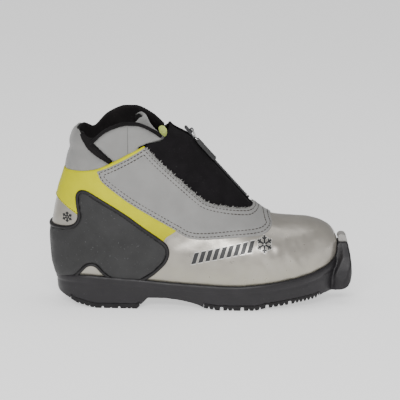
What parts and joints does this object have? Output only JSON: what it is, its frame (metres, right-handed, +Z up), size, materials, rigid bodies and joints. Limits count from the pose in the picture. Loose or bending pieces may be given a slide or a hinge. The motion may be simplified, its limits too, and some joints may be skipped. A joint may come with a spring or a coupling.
{
  "type": "cross country ski boot",
  "caption": "Low cross country ski boot with zipped instep cover, padded collar, moulded heel counter, treaded sole and toe block with a binding pin.",
  "frame": {"origin": "on the floor, at the centre of the bottom of the boot's bounding box", "axes": "+X from heel to toe, +Y to the inner (medial) side of this right-foot boot, +Z up"},
  "size_m": [0.276, 0.0934, 0.1744],
  "materials": {
    "sole_rubber": "satin moulded sole compound",
    "steel": "bright steel",
    "nub_grey": "matte grey moulding",
    "board": "pressed fibre board",
    "footbed_foam": "textile topped foam",
    "silver_skin": "pearly silver synthetic leather",
    "lime_band": "smooth lime synthetic leather",
    "grey_overlay": "matte grey synthetic leather",
    "counter_shell": "fine grained dark grey moulding",
    "black_piping": "satin black",
    "grey_padding": "matte grey padded textile",
    "black_textile": "black woven tape",
    "black_lining": "black knitted lining",
    "pale_lime_tab": "pale lime textile tab",
    "lace_cord": "black braided cord",
    "black_cover": "smooth black laminated stretch fabric",
    "zip_plastic": "black moulded teeth",
    "gunmetal": "dark enamelled die cast metal",
    "bright_wire": "bright plated wire",
    "grip_rubber": "ribbed black rubber"
  },
  "bodies": {
    "boot": {"outsole": "sole_rubber", "heel_tread": "sole_rubber", "forefoot_tread": "sole_rubber", "binding_pin": "steel", "toe_nub": "nub_grey", "shank": "steel", "insole_board": "board", "footbed": "footbed_foam", "vamp": "silver_skin", "heel_quarter": "silver_skin", "side_band": "lime_band", "throat_overlay": "grey_overlay", "heel_counter": "counter_shell", "counter_piping": "black_piping", "window_piping_lateral": "black_piping", "window_piping_medial": "black_piping", "rear_collar": "grey_padding", "collar_wing_lateral": "grey_padding", "collar_wing_medial": "grey_padding", "wing_binding_lateral": "black_textile", "wing_binding_medial": "black_textile", "gusset_lateral": "black_textile", "gusset_medial": "black_textile", "lining": "black_lining", "heel_stiffener": "board", "toe_puff": "board", "tongue": "grey_padding", "tongue_tab": "pale_lime_tab", "lace": "lace_cord", "lace_stay_lateral": "black_textile", "lace_stay_medial": "black_textile", "zip_cover_lateral": "black_cover", "zip_cover_medial": "black_cover", "zip_tape_lateral": "black_textile", "zip_tape_medial": "black_textile", "zip_teeth_lateral": "zip_plastic", "zip_teeth_medial": "zip_plastic", "zip_top_stop_lateral": "zip_plastic", "zip_top_stop_medial": "zip_plastic", "zip_bottom_stop": "zip_plastic"},
    "slider": {"zip_slider": "gunmetal"},
    "bail": {"zip_bail": "bright_wire"},
    "grip": {"pull_grip": "grip_rubber"}
  },
  "joints": [
    {"name": "zip_slide", "type": "slide", "parent": "boot", "child": "slider", "axis": [0.6699, 0, -0.7424], "range_m": [0, 0.044]},
    {"name": "bail_hinge", "type": "hinge", "parent": "slider", "child": "bail", "pos_m": [-0.0071, 0, 0.15817], "axis": [0, -1, 0], "range_deg": [0, 100]},
    {"name": "grip_hinge", "type": "hinge", "parent": "bail", "child": "grip", "pos_m": [-0.00242, -0.0055, 0.15], "axis": [0, -1, 0], "range_deg": [0, 60]}
  ]
}
